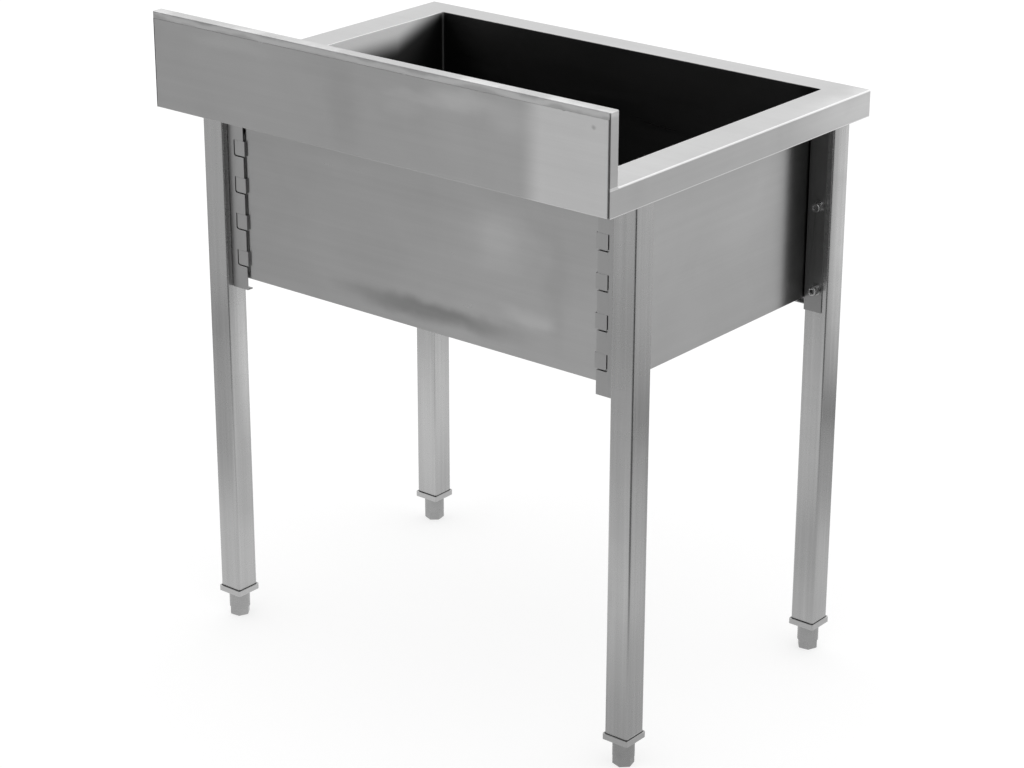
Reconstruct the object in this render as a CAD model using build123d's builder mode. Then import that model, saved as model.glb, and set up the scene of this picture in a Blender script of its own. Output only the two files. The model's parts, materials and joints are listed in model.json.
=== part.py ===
from build123d import *
import math
import os

os.makedirs("parts", exist_ok=True)

# Freestanding single-bowl utility sink in folded stainless steel.
# Millimetres, +Z up, front at -Y, upstand at +Y. Z = 0 is the floor.

# Overall sizes
sinkLength = 800.0
sinkDepth = 600.0
rimHeight = 855.0
sheet = 1.2

# Rim and upstand
apronHeight = 38.0
apronReturn = 12.0
endRim = 55.0
frontRim = 44.0
rearLedge = 73.0
upstandHeight = 100.0
upstandDepth = 18.0
upstandLip = 10.0
cornerRadius = 3.0
edgeRadius = 2.0
bendRadius = 3.0

# Cover in the back of the upstand
coverGap = 0.8
coverReturn = 9.0
coverEdge = 2.0
coverTopEdge = 0.6
tongueHeight = 14.0
lipGap = 0.2

# Bowl
bowlDepth = 300.0
bowlCorner = 3.0
recessRadius = 48.0
recessSlope = 3.0
recessDepth = 3.0

# Stiffening channels under the rim
channelHeight = 15.0
channelLip = 8.0
channelEndGap = 8.0
frontChannelWidth = 29.0
rearChannelWidth = 54.0
endChannelWidth = 32.0
channelWallGap = 8.0

# Legs
tube = 38.0
tubeWall = 1.5
tubeRadius = 3.0

# Brackets and hook rails
plate = 1.5
wallClearance = 0.8
hookGap = 2.3
flangeSetback = 10.0
flangeReach = 31.0
armReach = 29.0
plateBend = 2.0
bracketTopDrop = 22.0
bracketBelowBowl = 17.5
bottomReturn = 9.0
bottomRelief = 8.0
tabCount = 4
tabPitch = 55.0
firstTabDrop = 93.5
tabHeight = 22.0
tabReach = 19.0
tabSlit = 2.0
tabCorner = 3.0
railSheet = 1.2
railInset = 2.5
railMargin = 10.0

# Fasteners, M8
screwSize = 8.0
screwLength = 16.0
headDiameter = 13.0
headHeight = 8.0
socketFlats = 6.0
socketDepth = 4.0
flatWasherDiameter = 16.0
flatWasherHeight = 1.6
springWasherDiameter = 13.5
springWasherHeight = 2.0
springWasherSlot = 1.0
washerBore = 8.4
boltHole = 9.0
upperBoltDrop = 159.5
boltAboveFloor = 16.5
nutBody = 11.0
nutLength = 15.0
threadClearance = 0.05

# Leg ends and feet, M10
plugFlange = 43.0
plugFlangeHeight = 8.5
plugInsert = 25.0
plugClearance = 0.15
studSize = 10.0
studAbovePlug = 17.0
studEngagement = 30.0
runningClearance = 0.05
footGap = 0.5
footDiameter = 31.0
footRoundHeight = 26.0
footFlats = 26.5
footHexHeight = 13.0
footChamfer = 1.2
footEdge = 1.5
# how far each foot is turned on its stud, in degrees
footTurn = {"front_left": 9.0, "front_right": 41.0, "rear_left": 44.5, "rear_right": 6.0}

# Waste fitting
tailDiameter = 47.8
tailBore = 42.0
tailLength = 58.0
tailChamfer = 1.0
reliefWidth = 1.5
reliefDepth = 0.4
wasteFlangeDiameter = 84.0
wasteFlangeHeight = 1.5
holeClearance = 0.6
gasketDiameter = 76.0
gasketHeight = 3.0
locknutFlats = 60.0
locknutHeight = 10.0
basketClearance = 0.4
basketWall = 1.0
basketDepth = 24.0
basketRimDiameter = 54.0
basketHoleDiameter = 4.0
basketHoleCount = 8
basketHoleRing = 12.0
knobStem = 6.0
knobDiameter = 14.0
knobHeight = 8.0
knobRise = 6.0

# Sizes that follow from those above
halfLength = sinkLength / 2
halfDepth = sinkDepth / 2
bowlLength = sinkLength - 2 * endRim
bowlWidth = sinkDepth - frontRim - rearLedge - upstandDepth
bowlFrontY = -halfDepth + frontRim
bowlRearY = bowlFrontY + bowlWidth
bowlCentreY = (bowlFrontY + bowlRearY) / 2
upstandFrontY = halfDepth - upstandDepth
upstandTop = rimHeight + upstandHeight
rimUnderside = rimHeight - sheet
apronBottom = rimHeight - apronHeight
bowlUnderside = rimHeight - bowlDepth
floorTop = bowlUnderside + sheet
bracketBottomDrop = bowlDepth + bracketBelowBowl
boltDrops = (upperBoltDrop, bowlDepth - boltAboveFloor)
footHeight = footHexHeight + footRoundHeight
plugUnderside = footHeight + footGap
legBottom = plugUnderside + plugFlangeHeight

# Each corner: the side signs and the distances of its bowl wall, flange and leg from the axes
legInnerX = bowlLength / 2 + sheet + wallClearance + plate
legCentreX = legInnerX + tube / 2
wallReach = {-1: sheet - bowlFrontY, 1: bowlRearY + sheet}
corners = [("front_left", -1, -1), ("front_right", 1, -1), ("rear_left", -1, 1), ("rear_right", 1, 1)]


def flangeOuterY(sideY):
    """Distance of the outer face of a bracket flange from the X axis."""
    return wallReach[sideY] + hookGap + plate


def legOuterY(sideY):
    """Distance of the outer face of a leg from the X axis."""
    return flangeOuterY(sideY) + flangeSetback


def legCentreY(sideY):
    """Distance of the axis of a leg from the X axis."""
    return legOuterY(sideY) - tube / 2


def armFaceY(sideY):
    """Distance of the free face of a bracket's bolted arm from the X axis."""
    return legOuterY(sideY) - tube - plate


# Worktop: apron pan and hollow upstand, open at the back, with the hole for the bowl
with BuildPart() as worktop:
    with BuildSketch(Plane.XY.offset(apronBottom)):
        Rectangle(sinkLength, sinkDepth)
    extrude(amount=apronHeight)
    with BuildSketch(Plane.XY.offset(rimHeight)):
        with Locations((0, halfDepth - upstandDepth / 2)):
            Rectangle(sinkLength, upstandDepth)
    extrude(amount=upstandHeight)
    bendLine = worktop.edges().filter_by(Axis.X).filter_by(
        lambda e: abs(e.center().Z - rimHeight) < 0.01 and abs(e.center().Y - upstandFrontY) < 0.01)
    fillet(bendLine, radius=bendRadius)
    outerCorners = worktop.edges().filter_by(Axis.Z).filter_by(
        lambda e: abs(e.center().Y) > halfDepth - 0.01)
    fillet(outerCorners, radius=cornerRadius)
    upperEdges = worktop.edges().filter_by(
        lambda e: e.center().Z > upstandTop - 0.01
        or (abs(e.center().Z - rimHeight) < 0.01 and e.center().Y < upstandFrontY - bendRadius))
    fillet(upperEdges, radius=edgeRadius)
    # inside of the pan, down to the return folds
    with BuildSketch(Plane.XY.offset(apronBottom + sheet)):
        RectangleRounded(sinkLength - 2 * sheet, sinkDepth - 2 * sheet, cornerRadius - sheet)
    extrude(amount=apronHeight - 2 * sheet, mode=Mode.SUBTRACT)
    with BuildSketch(Plane.XY.offset(apronBottom)):
        Rectangle(sinkLength - 2 * apronReturn, sinkDepth - 2 * apronReturn)
    extrude(amount=sheet, mode=Mode.SUBTRACT)
    # hollow of the upstand, open at the back and below, with a lip left at the top
    hollowDepth = upstandDepth - sheet
    with BuildSketch(Plane.XY.offset(apronBottom)):
        with Locations((0, halfDepth - hollowDepth / 2)):
            Rectangle(sinkLength - 2 * sheet, hollowDepth)
    extrude(amount=apronHeight + upstandHeight - upstandLip, mode=Mode.SUBTRACT)
    with BuildSketch(Plane.XY.offset(upstandTop - upstandLip)):
        with Locations((0, upstandFrontY + upstandDepth / 2)):
            Rectangle(sinkLength - 2 * sheet, upstandDepth - 2 * sheet)
    extrude(amount=upstandLip - sheet, mode=Mode.SUBTRACT)
    # hole that the bowl walls stand in
    with BuildSketch(Plane.XY.offset(rimHeight)):
        with Locations((0, bowlCentreY)):
            RectangleRounded(bowlLength + 2 * sheet, bowlWidth + 2 * sheet, bowlCorner + sheet)
    extrude(amount=-2 * sheet, mode=Mode.SUBTRACT)
worktop.part.label = "worktop"
export_step(worktop.part, "parts/worktop.step")

# Cover: a shallow tray, its top edge tighter than the others, with a tongue welded behind the lip
coverWidth = sinkLength - 2 * (sheet + coverGap)
coverTop = upstandTop - upstandLip - lipGap
with BuildPart() as upstandCover:
    with BuildSketch(Plane.XY.offset(apronBottom)):
        with Locations((0, halfDepth - coverReturn / 2)):
            Rectangle(coverWidth, coverReturn)
    extrude(amount=coverTop - apronBottom)
    backEdges = upstandCover.faces().sort_by(Axis.Y)[-1].edges().sort_by(Axis.Z)
    fillet(backEdges[:-1], radius=coverEdge)
    topEdges = upstandCover.faces().sort_by(Axis.Z)[-1].edges().filter_by(
        lambda e: e.center().Y > halfDepth - coverReturn + 0.01 and abs(e.center().X) < 1)
    fillet(topEdges, radius=coverTopEdge)
    with BuildSketch(Plane.XY.offset(apronBottom + sheet)):
        with Locations((0, halfDepth - sheet - coverReturn / 2)):
            Rectangle(coverWidth - 2 * sheet, coverReturn)
    extrude(amount=coverTop - apronBottom, mode=Mode.SUBTRACT)
    with BuildSketch(Plane.XY.offset(coverTop - tongueHeight)):
        with Locations((0, halfDepth - 1.5 * sheet)):
            Rectangle(coverWidth - 2 * sheet, sheet)
    extrude(amount=tongueHeight + upstandLip - 2 * sheet)
upstandCover.part.label = "upstand_cover"
export_step(upstandCover.part, "parts/upstand_cover.step")

# Bowl walls: one band with rounded corners, its top edge flush with the rim
with BuildPart() as bowlWalls:
    with BuildSketch(Plane.XY.offset(floorTop)):
        with Locations((0, bowlCentreY)):
            RectangleRounded(bowlLength + 2 * sheet, bowlWidth + 2 * sheet, bowlCorner + sheet)
            RectangleRounded(bowlLength, bowlWidth, bowlCorner, mode=Mode.SUBTRACT)
    extrude(amount=rimHeight - floorTop)
    topFace = bowlWalls.faces().sort_by(Axis.Z)[-1]
    fillet(topFace.inner_wires()[0].edges(), radius=0.9 * sheet)
bowlWalls.part.label = "bowl_walls"
export_step(bowlWalls.part, "parts/bowl_walls.step")

# Bowl floor: plate under the walls with a pressed recess and the hole for the waste
wasteHole = tailDiameter / 2 + holeClearance
with BuildPart() as bowlFloor:
    with BuildSketch(Plane.XY.offset(bowlUnderside)):
        with Locations((0, bowlCentreY)):
            RectangleRounded(bowlLength + 2 * sheet, bowlWidth + 2 * sheet, bowlCorner + sheet)
            Circle(recessRadius, mode=Mode.SUBTRACT)
    extrude(amount=sheet)
    recessPlane = Plane(origin=(0, bowlCentreY, bowlUnderside), x_dir=(1, 0, 0), z_dir=(0, -1, 0))
    with BuildSketch(recessPlane):
        with BuildLine():
            Polyline((wasteHole, -recessDepth), (recessRadius - recessSlope, -recessDepth),
                     (recessRadius, 0), (recessRadius, sheet),
                     (recessRadius - recessSlope, sheet - recessDepth),
                     (wasteHole, sheet - recessDepth), close=True)
        make_face()
    revolve(axis=Axis((0, bowlCentreY, 0), (0, 0, 1)))
bowlFloor.part.label = "bowl_floor"
export_step(bowlFloor.part, "parts/bowl_floor.step")


# Rim stiffeners: hat channels spot-welded to the underside of the rim
def hatOutline(width):
    """Closed points of a hat section, its lips at height zero and its crown below."""
    crown = width / 2 - channelLip
    return [(-width / 2, 0), (-crown, 0), (-crown, sheet - channelHeight),
            (crown, sheet - channelHeight), (crown, 0), (width / 2, 0),
            (width / 2, -sheet), (crown + sheet, -sheet), (crown + sheet, -channelHeight),
            (-crown - sheet, -channelHeight), (-crown - sheet, -sheet), (-width / 2, -sheet)]


frontInnerY = -legOuterY(-1) + tube
rearInnerY = legOuterY(1) - tube
endRun = rearInnerY - frontInnerY - 2 * channelEndGap
endMiddleY = (rearInnerY + frontInnerY) / 2
longRun = 2 * (legInnerX - channelEndGap)
frontChannelY = bowlFrontY - sheet - channelWallGap - frontChannelWidth / 2
rearChannelY = bowlRearY + sheet + channelWallGap + rearChannelWidth / 2
endChannelX = bowlLength / 2 + sheet + channelWallGap + endChannelWidth / 2 - channelWallGap / 2
channels = [("front", frontChannelWidth, longRun, (0, frontChannelY), (1, 0, 0)),
            ("rear", rearChannelWidth, longRun, (0, rearChannelY), (1, 0, 0)),
            ("left", endChannelWidth, endRun, (-endChannelX, endMiddleY), (0, 1, 0)),
            ("right", endChannelWidth, endRun, (endChannelX, endMiddleY), (0, 1, 0))]
for side, width, run, middle, direction in channels:
    across = Vector(0, 0, 1).cross(Vector(direction))
    hatPlane = Plane(origin=(middle[0], middle[1], rimUnderside), x_dir=across, z_dir=direction)
    with BuildPart() as rimStiffener:
        with BuildSketch(hatPlane):
            with BuildLine():
                Polyline(*hatOutline(width), close=True)
            make_face()
        extrude(amount=run / 2, both=True)
    rimStiffener.part.label = f"rim_stiffener_{side}"
    export_step(rimStiffener.part, f"parts/rim_stiffener_{side}.step")

# Per corner: leg, bracket, hook rail, plug, stud and foot
tabInnerX = legInnerX - flangeReach
for corner, sideX, sideY in corners:
    legX = sideX * legCentreX
    legY = sideY * legCentreY(sideY)
    armY = armFaceY(sideY)
    flangeY = flangeOuterY(sideY)

    # Leg: square tube from its plug up to the rim, drilled for the rivet nuts
    with BuildPart() as leg:
        with BuildSketch(Plane.XY.offset(legBottom)):
            with Locations((legX, legY)):
                RectangleRounded(tube, tube, tubeRadius)
                RectangleRounded(tube - 2 * tubeWall, tube - 2 * tubeWall, tubeRadius - tubeWall,
                                 mode=Mode.SUBTRACT)
        extrude(amount=rimUnderside - legBottom)
        drillPlane = Plane(origin=(legX, sideY * (armY + plate), rimHeight), x_dir=(sideX, 0, 0),
                           z_dir=(0, sideY, 0))
        upward = drillPlane.y_dir.Z
        with BuildSketch(drillPlane):
            with Locations(*[(0, -drop * upward) for drop in boltDrops]):
                Circle(nutBody / 2)
        extrude(amount=2 * tubeWall, both=True, mode=Mode.SUBTRACT)
    leg.part.label = f"leg_{corner}"
    export_step(leg.part, f"parts/leg_{corner}.step")

    # Bracket: notched flange, arm beside the bowl and bolted arm, folded from one plate
    with BuildPart() as legBracket:
        bracketHeight = bracketBottomDrop - bracketTopDrop
        with BuildSketch(Plane.XY.offset(rimHeight - bracketBottomDrop)):
            with BuildLine():
                FilletPolyline((sideX * (legInnerX - flangeReach), sideY * (flangeY - plate / 2)),
                               (sideX * (legInnerX - plate / 2), sideY * (flangeY - plate / 2)),
                               (sideX * (legInnerX - plate / 2), sideY * (armY + plate / 2)),
                               (sideX * (legInnerX + armReach), sideY * (armY + plate / 2)),
                               radius=plateBend)
            trace(line_width=plate)
        extrude(amount=bracketHeight)
        # short fold under the bowl
        with BuildSketch(Plane.XY.offset(rimHeight - bracketBottomDrop)):
            foldWidth = flangeReach - bottomRelief
            foldDepth = bottomReturn + plate
            with Locations((sideX * (legInnerX - flangeReach + foldWidth / 2),
                            sideY * (flangeY - foldDepth / 2))):
                Rectangle(foldWidth, foldDepth)
        extrude(amount=plate)
        # open notches for the hook tabs
        notchTop = rimHeight - firstTabDrop
        notchDepth = tabReach - railInset + tabSlit
        notchHeight = tabHeight + tabSlit
        facePlane = Plane(origin=(0, sideY * flangeY, 0), x_dir=(1, 0, 0), z_dir=(0, -sideY, 0))
        flip = facePlane.y_dir.Z
        with BuildSketch(facePlane):
            for i in range(tabCount):
                notchX = sideX * (legInnerX - flangeReach + notchDepth / 2 - 1)
                notchZ = notchTop - i * tabPitch - notchHeight / 2
                with Locations((notchX, flip * notchZ)):
                    Rectangle(notchDepth + 2, notchHeight)
        extrude(amount=plate, both=True, mode=Mode.SUBTRACT)
        lowerNotchCorners = legBracket.edges().filter_by(Axis.Y).filter_by(
            lambda e: abs(abs(e.center().X) - (legInnerX - flangeReach + notchDepth)) < 0.01
            and (notchTop - e.center().Z) % tabPitch > tabSlit)
        fillet(lowerNotchCorners, radius=tabCorner)
        boltPlane = Plane(origin=(legX, sideY * armY, rimHeight), x_dir=(sideX, 0, 0),
                          z_dir=(0, sideY, 0))
        upward = boltPlane.y_dir.Z
        with BuildSketch(boltPlane):
            with Locations(*[(0, -drop * upward) for drop in boltDrops]):
                Circle(boltHole / 2)
        extrude(amount=2 * plate, both=True, mode=Mode.SUBTRACT)
    legBracket.part.label = f"leg_bracket_{corner}"
    export_step(legBracket.part, f"parts/leg_bracket_{corner}.step")

    # Hook rail: strip welded to the bowl wall behind the flange, with tabs through its notches
    with BuildPart() as hookRail:
        wallY = wallReach[sideY]
        railInnerX = tabInnerX - railInset
        stripHeight = (tabCount - 1) * tabPitch + tabHeight + 2 * railMargin
        stripTop = rimHeight - firstTabDrop + railMargin
        with BuildSketch(Plane.XY.offset(stripTop - stripHeight)):
            stripWidth = legInnerX - plate - wallClearance - tabInnerX
            with Locations((sideX * (tabInnerX + stripWidth / 2), sideY * (wallY + railSheet / 2))):
                Rectangle(stripWidth, railSheet)
        extrude(amount=stripHeight)
        for i in range(tabCount):
            tabBottom = rimHeight - firstTabDrop - tabHeight - i * tabPitch
            with BuildSketch(Plane.XY.offset(tabBottom)):
                with Locations((sideX * (railInnerX + tabReach / 2), sideY * (flangeY - plate / 2))):
                    Rectangle(tabReach, plate)
                webDepth = flangeY - wallY
                with Locations((sideX * (railInnerX + plate / 2), sideY * (wallY + webDepth / 2))):
                    Rectangle(plate, webDepth)
                footWidth = railInset + plate
                with Locations((sideX * (railInnerX + footWidth / 2), sideY * (wallY + railSheet / 2))):
                    Rectangle(footWidth, railSheet)
            extrude(amount=tabHeight)
        tabCorners = hookRail.edges().filter_by(Axis.Y).filter_by(
            lambda e: abs(abs(e.center().X) - (railInnerX + tabReach)) < 0.01
            and (rimHeight - firstTabDrop - e.center().Z) % tabPitch > tabSlit)
        fillet(tabCorners, radius=tabCorner)
    hookRail.part.label = f"hook_rail_{corner}"
    export_step(hookRail.part, f"parts/hook_rail_{corner}.step")

    # Plug: square flange under the leg and an insert with the thread for the stud
    insertWidth = tube - 2 * tubeWall - 2 * plugClearance
    with BuildPart() as legPlug:
        with BuildSketch(Plane.XY.offset(plugUnderside)):
            with Locations((legX, legY)):
                RectangleRounded(plugFlange, plugFlange, tubeRadius)
        extrude(amount=plugFlangeHeight)
        with BuildSketch(Plane.XY.offset(legBottom)):
            with Locations((legX, legY)):
                RectangleRounded(insertWidth, insertWidth, tubeRadius - tubeWall)
        extrude(amount=plugInsert)
        with BuildSketch(Plane.XY.offset(plugUnderside)):
            with Locations((legX, legY)):
                Circle(studSize / 2 + runningClearance)
        extrude(amount=plugFlangeHeight + plugInsert, mode=Mode.SUBTRACT)
    legPlug.part.label = f"leg_plug_{corner}"
    export_step(legPlug.part, f"parts/leg_plug_{corner}.step")

    # Stud: threaded rod, shown by its outer diameter, from the foot up into the leg
    studBottom = footHeight - studEngagement
    studTop = legBottom + plugInsert + studAbovePlug
    with BuildPart() as footStud:
        with BuildSketch(Plane.XY.offset(studBottom)):
            with Locations((legX, legY)):
                Circle(studSize / 2)
        extrude(amount=studTop - studBottom)
        chamfer(footStud.edges().filter_by(GeomType.CIRCLE), length=1)
    footStud.part.label = f"foot_stud_{corner}"
    export_step(footStud.part, f"parts/foot_stud_{corner}.step")

    # Foot: hexagon below for a spanner, round above, blind hole for the stud
    with BuildPart() as foot:
        with BuildSketch():
            with Locations((legX, legY)):
                RegularPolygon(footFlats / 2, 6, major_radius=False, rotation=footTurn[corner])
        extrude(amount=footHexHeight)
        soleEdges = foot.faces().sort_by(Axis.Z)[0].edges()
        chamfer(soleEdges, length=footChamfer)
        with BuildSketch(Plane.XY.offset(footHexHeight)):
            with Locations((legX, legY)):
                Circle(footDiameter / 2)
        extrude(amount=footRoundHeight)
        fillet(foot.faces().sort_by(Axis.Z)[-1].edges(), radius=footEdge)
        with BuildSketch(Plane.XY.offset(footHeight)):
            with Locations((legX, legY)):
                Circle(studSize / 2 + runningClearance)
        extrude(amount=-studEngagement, mode=Mode.SUBTRACT)
    foot.part.label = f"foot_{corner}"
    export_step(foot.part, f"parts/foot_{corner}.step")


# Places of the fasteners: a plane on the bolted arm of each bracket, facing the bowl
def boltPlanes():
    """Planes on the free face of each bolted arm, one per bolt, normal away from the leg."""
    planes = []
    for corner, sideX, sideY in corners:
        for drop in boltDrops:
            planes.append(Plane(origin=(sideX * legCentreX, sideY * armFaceY(sideY), rimHeight - drop),
                                x_dir=(1, 0, 0), z_dir=(0, -sideY, 0)))
    return planes


with BuildPart() as flatWashers:
    for face in boltPlanes():
        with BuildSketch(face):
            Circle(flatWasherDiameter / 2)
            Circle(washerBore / 2, mode=Mode.SUBTRACT)
        extrude(amount=flatWasherHeight)
flatWashers.part.label = "flat_washers"
export_step(flatWashers.part, "parts/flat_washers.step")

# Split spring washers, drawn closed as they are under load
with BuildPart() as springWashers:
    for face in boltPlanes():
        with BuildSketch(face.offset(flatWasherHeight)):
            Circle(springWasherDiameter / 2)
            Circle(washerBore / 2, mode=Mode.SUBTRACT)
            with Locations((springWasherDiameter / 2, 0)):
                Rectangle(springWasherDiameter, springWasherSlot, mode=Mode.SUBTRACT)
        extrude(amount=springWasherHeight)
springWashers.part.label = "spring_washers"
export_step(springWashers.part, "parts/spring_washers.step")

# Socket-head cap screws
underHead = flatWasherHeight + springWasherHeight
with BuildPart() as capScrews:
    for face in boltPlanes():
        with BuildSketch(face.offset(underHead)):
            Circle(headDiameter / 2)
        extrude(amount=headHeight)
        with BuildSketch(face.offset(underHead)):
            Circle(screwSize / 2)
        extrude(amount=-screwLength)
        with BuildSketch(face.offset(underHead + headHeight)):
            RegularPolygon(socketFlats / 2, 6, major_radius=False)
        extrude(amount=-socketDepth, mode=Mode.SUBTRACT)
    headRims = capScrews.edges().filter_by(GeomType.CIRCLE).filter_by(
        lambda e: abs(e.radius - headDiameter / 2) < 0.01)
    chamfer(headRims, length=0.6)
capScrews.part.label = "cap_screws"
export_step(capScrews.part, "parts/cap_screws.step")

# Rivet nuts set flush in the leg wall
with BuildPart() as rivetNuts:
    for face in boltPlanes():
        with BuildSketch(face.offset(-plate)):
            Circle(nutBody / 2 - threadClearance)
            Circle(screwSize / 2 + threadClearance, mode=Mode.SUBTRACT)
        extrude(amount=-nutLength)
        with BuildSketch(face.offset(-plate - tubeWall)):
            Circle(nutBody / 2 + 1)
            Circle(screwSize / 2 + threadClearance, mode=Mode.SUBTRACT)
        extrude(amount=-2 * tubeWall)
rivetNuts.part.label = "rivet_nuts"
export_step(rivetNuts.part, "parts/rivet_nuts.step")

# Waste fitting on its own axis through the recess, with a run-out groove under the locknut
wastePlane = Plane(origin=(0, bowlCentreY, bowlUnderside - recessDepth), x_dir=(1, 0, 0),
                   z_dir=(0, -1, 0))
wasteAxis = Axis((0, bowlCentreY, 0), (0, 0, 1))
seat = sheet
tailRadius = tailDiameter / 2
throat = tailBore / 2
tailEnd = seat - tailLength
nutUnderside = -gasketHeight - locknutHeight
with BuildPart() as wasteFlange:
    with BuildSketch(wastePlane):
        with BuildLine():
            Polyline((throat, tailEnd), (tailRadius - tailChamfer, tailEnd),
                     (tailRadius, tailEnd + tailChamfer), (tailRadius, nutUnderside - reliefWidth),
                     (tailRadius - reliefDepth, nutUnderside - reliefWidth),
                     (tailRadius - reliefDepth, nutUnderside), (tailRadius, nutUnderside),
                     (tailRadius, seat),
                     (wasteFlangeDiameter / 2, seat), (wasteFlangeDiameter / 2, seat + 0.5),
                     (wasteFlangeDiameter / 2 - 1, seat + wasteFlangeHeight),
                     (throat + 1, seat + wasteFlangeHeight), (throat, seat + wasteFlangeHeight - 1),
                     close=True)
        make_face()
    revolve(axis=wasteAxis)
wasteFlange.part.label = "waste_flange"
export_step(wasteFlange.part, "parts/waste_flange.step")

with BuildPart() as wasteGasket:
    with BuildSketch(Plane.XY.offset(bowlUnderside - recessDepth)):
        with Locations((0, bowlCentreY)):
            Circle(gasketDiameter / 2)
            Circle(wasteHole, mode=Mode.SUBTRACT)
    extrude(amount=-gasketHeight)
wasteGasket.part.label = "waste_gasket"
export_step(wasteGasket.part, "parts/waste_gasket.step")

with BuildPart() as wasteLocknut:
    with BuildSketch(Plane.XY.offset(bowlUnderside - recessDepth - gasketHeight)):
        with Locations((0, bowlCentreY)):
            RegularPolygon(locknutFlats / 2, 6, major_radius=False)
            Circle(tailRadius + threadClearance, mode=Mode.SUBTRACT)
    extrude(amount=-locknutHeight)
wasteLocknut.part.label = "waste_locknut"
export_step(wasteLocknut.part, "parts/waste_locknut.step")

# Strainer basket: perforated cup that hangs by its rim in the waste, with a lifting knob
cupRadius = throat - basketClearance
rimSeat = seat + wasteFlangeHeight
cupFloor = rimSeat - basketDepth
knobBase = rimSeat + knobRise
with BuildPart() as strainerBasket:
    with BuildSketch(wastePlane):
        with BuildLine():
            Polyline((0, cupFloor), (cupRadius, cupFloor), (cupRadius, rimSeat),
                     (basketRimDiameter / 2, rimSeat), (basketRimDiameter / 2, rimSeat + basketWall),
                     (cupRadius - basketWall, rimSeat + basketWall),
                     (cupRadius - basketWall, cupFloor + basketWall),
                     (knobStem / 2, cupFloor + basketWall), (knobStem / 2, knobBase),
                     (knobDiameter / 2, knobBase), (knobDiameter / 2, knobBase + knobHeight),
                     (0, knobBase + knobHeight), close=True)
        make_face()
    revolve(axis=wasteAxis)
    with BuildSketch(Plane.XY.offset(bowlUnderside - recessDepth + cupFloor)):
        with Locations((0, bowlCentreY)):
            with PolarLocations(basketHoleRing, basketHoleCount):
                Circle(basketHoleDiameter / 2)
    extrude(amount=basketWall, mode=Mode.SUBTRACT)
    knobRims = strainerBasket.edges().filter_by(GeomType.CIRCLE).filter_by(
        lambda e: abs(e.radius - knobDiameter / 2) < 0.01)
    fillet(knobRims, radius=1.5)
strainerBasket.part.label = "strainer_basket"
export_step(strainerBasket.part, "parts/strainer_basket.step")
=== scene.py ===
import json
import math

import bmesh
import bpy
import numpy as np
from mathutils import Matrix, Vector

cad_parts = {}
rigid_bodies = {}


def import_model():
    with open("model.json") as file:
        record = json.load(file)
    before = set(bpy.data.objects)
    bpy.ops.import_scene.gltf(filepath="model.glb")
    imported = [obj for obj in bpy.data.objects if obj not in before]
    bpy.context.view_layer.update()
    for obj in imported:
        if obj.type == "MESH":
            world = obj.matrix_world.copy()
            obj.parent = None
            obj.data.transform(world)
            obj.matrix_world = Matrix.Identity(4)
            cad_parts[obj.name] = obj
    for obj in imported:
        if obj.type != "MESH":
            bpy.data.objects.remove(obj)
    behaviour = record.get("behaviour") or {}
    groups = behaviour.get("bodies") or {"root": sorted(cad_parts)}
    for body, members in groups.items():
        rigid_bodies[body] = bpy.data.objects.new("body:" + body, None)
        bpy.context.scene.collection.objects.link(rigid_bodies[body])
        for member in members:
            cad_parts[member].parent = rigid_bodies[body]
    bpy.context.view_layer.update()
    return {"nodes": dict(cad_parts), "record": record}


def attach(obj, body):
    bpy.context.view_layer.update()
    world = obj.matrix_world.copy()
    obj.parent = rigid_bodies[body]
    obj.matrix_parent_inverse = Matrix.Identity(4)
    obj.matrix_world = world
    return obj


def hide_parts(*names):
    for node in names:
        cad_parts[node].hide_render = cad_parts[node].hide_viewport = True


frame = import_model()
cornerNames = ["front_left", "front_right", "rear_left", "rear_right"]


# Places that several pieces and finishes share, measured on the solids, in metres
def boxOf(node):
    points = np.array([point.co for point in frame["nodes"][node].data.vertices], dtype=float)
    return points.min(axis=0).round(7), points.max(axis=0).round(7)


sheet = 0.0012
topLow, topHigh = boxOf("worktop")
bowlLow, bowlHigh = boxOf("bowl_walls")
bowlMiddle = (bowlLow + bowlHigh) / 2
bowlHalf = (bowlHigh - bowlLow) / 2 - sheet
rimHeight = bowlHigh[2]
legCentres = {corner: tuple(sum(boxOf(f"leg_{corner}"))[:2] / 2) for corner in cornerNames}
print(f"places: rim at {rimHeight:.3f}, bowl {2 * bowlHalf[0]:.3f} by {2 * bowlHalf[1]:.3f}")


# Camera: the viewing angle of the photograph, from behind and above
camera = {"target": (-0.07102, 0.08516, 0.45), "distance": 3.91059, "azimuth": 219.118,
          "elevation": 21.673, "roll": 0.119, "lens": 97.366, "sensor": 36.0}


def placeCamera(view):
    a, e, r = (math.radians(view[k]) for k in ("azimuth", "elevation", "roll"))
    back = Vector((math.sin(a) * math.cos(e), -math.cos(a) * math.cos(e), math.sin(e)))
    right = (-back).cross(Vector((0, 0, 1))).normalized()
    up = right.cross(-back)
    across = math.cos(r) * right + math.sin(r) * up
    upward = -math.sin(r) * right + math.cos(r) * up
    data = bpy.data.cameras.new("photoView")
    data.sensor_fit, data.sensor_width, data.lens = "HORIZONTAL", view["sensor"], view["lens"]
    data.clip_start, data.clip_end = 0.05, 60.0
    made = bpy.data.objects.new("photoView", data)
    bpy.context.scene.collection.objects.link(made)
    turn = Matrix((across, upward, back)).transposed()
    made.matrix_world = Matrix.Translation(Vector(view["target"]) + back * view["distance"]) @ turn.to_4x4()
    bpy.context.scene.camera = made


placeCamera(camera)
print("camera: placed")


# Small helpers for node trees
def addMath(tree, operation, a, b=None, c=None):
    node = tree.nodes.new("ShaderNodeMath")
    node.operation = operation
    for socket, value in zip(node.inputs, (a, b, c)):
        if value is None:
            continue
        if isinstance(value, (int, float)):
            socket.default_value = value
        else:
            tree.links.new(value, socket)
    return node.outputs[0]


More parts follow.
